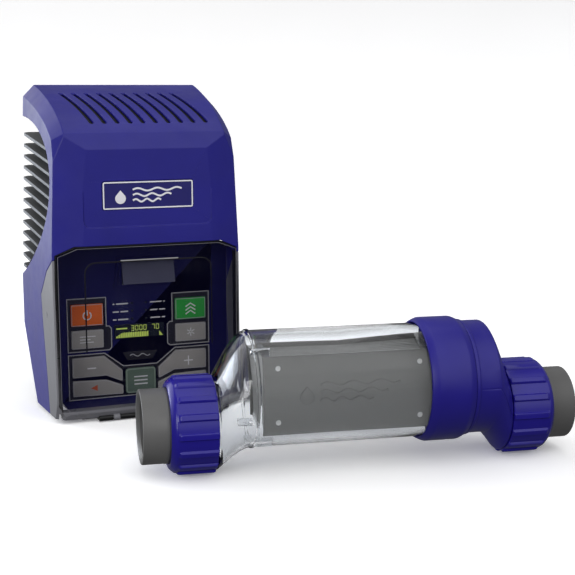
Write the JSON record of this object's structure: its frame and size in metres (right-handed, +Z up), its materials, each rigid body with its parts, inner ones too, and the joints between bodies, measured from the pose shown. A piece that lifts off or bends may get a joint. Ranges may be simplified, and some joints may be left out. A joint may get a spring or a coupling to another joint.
{
  "type": "salt chlorine generator",
  "caption": "Wall-hung pool chlorinator control box with hinged clear keypad cover, and its clear inline electrolytic cell with ribbed union nuts and pipe tailpieces.",
  "frame": {"origin": "on the floor under the middle of the control box", "axes": "+X right along the box front, +Y into its depth, +Z up; the cell lies in front, at -Y"},
  "size_m": [0.4891, 0.457, 0.374],
  "materials": {
    "shell_blue": "satin royal blue moulded plastic",
    "badge_blue": "satin blue with a pale rim",
    "screen_black": "matte",
    "trim_grey": "satin grey",
    "sink_metal": "dark cast aluminium",
    "chassis_black": "matte",
    "bracket_steel": "zinc plated",
    "screw_steel": "zinc plated",
    "seal_rubber": "matte",
    "panel_navy": "satin dark blue",
    "frame_dark": "satin with a pale outline",
    "hinge_black": "satin black",
    "button_orange": "satin",
    "button_green": "satin",
    "button_grey": "satin",
    "button_menu": "satin",
    "lcd_green": "lit display",
    "led_green": "lens",
    "board_green": "circuit board",
    "coil_copper": "laminated core and copper winding",
    "can_dark": "sleeved can",
    "cover_clear": "tinted transparent plastic",
    "cell_clear": "clear transparent plastic",
    "titanium": "grey titanium",
    "anode_dark": "coated titanium",
    "fitting_blue": "satin blue",
    "nut_blue": "glossy blue",
    "pvc_grey": "satin grey"
  },
  "bodies": {
    "control_box": {"front_shell": "shell_blue", "badge": "badge_blue", "vent_screen": "screen_black", "side_trim_left": "trim_grey", "side_trim_right": "trim_grey", "heat_sink": "sink_metal", "rear_chassis": "chassis_black", "chassis_foot": "chassis_black", "wall_bracket": "bracket_steel", "bracket_screws": "screw_steel", "shell_gasket": "seal_rubber", "recess_panel": "panel_navy", "panel_screws": "screw_steel", "cover_seal": "seal_rubber", "keypad_frame": "frame_dark", "button_mat": "seal_rubber", "lcd_window": "lcd_green", "lcd_module": "chassis_black", "indicator_leds": "led_green", "control_board": "board_green", "board_screws": "screw_steel", "power_board": "board_green", "transformer": "coil_copper", "capacitors": "can_dark", "fuse_holder": "chassis_black", "terminal_strip": "board_green", "power_gland": "chassis_black", "cell_socket": "chassis_black", "hinge_bar": "hinge_black", "hinge_pin": "screw_steel"},
    "cover": {"cover": "cover_clear", "bottom_rail": "trim_grey"},
    "power_button": {"button_power": "button_orange"},
    "info_button": {"button_info": "button_grey"},
    "minus_button": {"button_minus": "button_grey"},
    "back_button": {"button_back": "button_grey"},
    "menu_button": {"button_menu": "button_menu"},
    "boost_button": {"button_boost": "button_green"},
    "star_button": {"button_star": "button_grey"},
    "plus_button": {"button_plus": "button_grey"},
    "next_button": {"button_next": "button_grey"},
    "cell": {"clear_housing": "cell_clear", "outer_plates": "titanium", "anode_plates": "anode_dark", "cathode_plates": "titanium", "plate_combs": "cell_clear", "tie_rods": "titanium", "terminal_studs": "titanium", "electrode_carrier": "chassis_black", "collar": "fitting_blue", "collar_seal": "seal_rubber", "end_housing": "fitting_blue", "cell_connector": "chassis_black", "union_seal_left": "seal_rubber", "union_seal_right": "seal_rubber"},
    "left_tailpiece": {"tailpiece_left": "pvc_grey"},
    "left_nut": {"union_nut_left": "nut_blue"},
    "right_tailpiece": {"tailpiece_right": "pvc_grey"},
    "right_nut": {"union_nut_right": "nut_blue"}
  },
  "joints": [
    {"name": "cover_hinge", "type": "hinge", "parent": "control_box", "child": "cover", "pos_m": [0, -0.0726, 0.004], "axis": [1, 0, 0], "range_deg": [0, 50]},
    {"name": "press_power", "type": "slide", "parent": "control_box", "child": "power_button", "axis": [0, 1, 0], "range_m": [0, 0.001], "stiffness_N_per_m": 600, "springref_m": -0.0005},
    {"name": "press_info", "type": "slide", "parent": "control_box", "child": "info_button", "axis": [0, 1, 0], "range_m": [0, 0.001], "stiffness_N_per_m": 600, "springref_m": -0.0005},
    {"name": "press_minus", "type": "slide", "parent": "control_box", "child": "minus_button", "axis": [0, 1, 0], "range_m": [0, 0.001], "stiffness_N_per_m": 600, "springref_m": -0.0005},
    {"name": "press_back", "type": "slide", "parent": "control_box", "child": "back_button", "axis": [0, 1, 0], "range_m": [0, 0.001], "stiffness_N_per_m": 600, "springref_m": -0.0005},
    {"name": "press_menu", "type": "slide", "parent": "control_box", "child": "menu_button", "axis": [0, 1, 0], "range_m": [0, 0.001], "stiffness_N_per_m": 600, "springref_m": -0.0005},
    {"name": "press_boost", "type": "slide", "parent": "control_box", "child": "boost_button", "axis": [0, 1, 0], "range_m": [0, 0.001], "stiffness_N_per_m": 600, "springref_m": -0.0005},
    {"name": "press_star", "type": "slide", "parent": "control_box", "child": "star_button", "axis": [0, 1, 0], "range_m": [0, 0.001], "stiffness_N_per_m": 600, "springref_m": -0.0005},
    {"name": "press_plus", "type": "slide", "parent": "control_box", "child": "plus_button", "axis": [0, 1, 0], "range_m": [0, 0.001], "stiffness_N_per_m": 600, "springref_m": -0.0005},
    {"name": "press_next", "type": "slide", "parent": "control_box", "child": "next_button", "axis": [0, 1, 0], "range_m": [0, 0.001], "stiffness_N_per_m": 600, "springref_m": -0.0005},
    {"name": "cell_slide", "type": "slide", "parent": "control_box", "child": "cell", "axis": [0, -1, 0], "range_m": [0, 0.25]},
    {"name": "left_tail_withdraw", "type": "slide", "parent": "cell", "child": "left_tailpiece", "axis": [-0.9884, 0.1521, 0], "range_m": [0, 0.01279]},
    {"name": "left_nut_turn", "type": "hinge", "parent": "left_tailpiece", "child": "left_nut", "pos_m": [-0.02292, -0.27935, 0.0485], "axis": [-0.9884, 0.1521, 0], "range_deg": [0, 1080]},
    {"name": "right_tail_withdraw", "type": "slide", "parent": "cell", "child": "right_tailpiece", "axis": [0.9884, -0.1521, 0], "range_m": [0, 0.01279]},
    {"name": "right_nut_turn", "type": "hinge", "parent": "right_tailpiece", "child": "right_nut", "pos_m": [0.32103, -0.33228, 0.0485], "axis": [0.9884, -0.1521, 0], "range_deg": [0, 1080]}
  ],
  "couplings": [
    {"joint": "left_tail_withdraw", "follows": "left_nut_turn", "m_per_rad": 0.00067322},
    {"joint": "right_tail_withdraw", "follows": "right_nut_turn", "m_per_rad": 0.00067322}
  ]
}
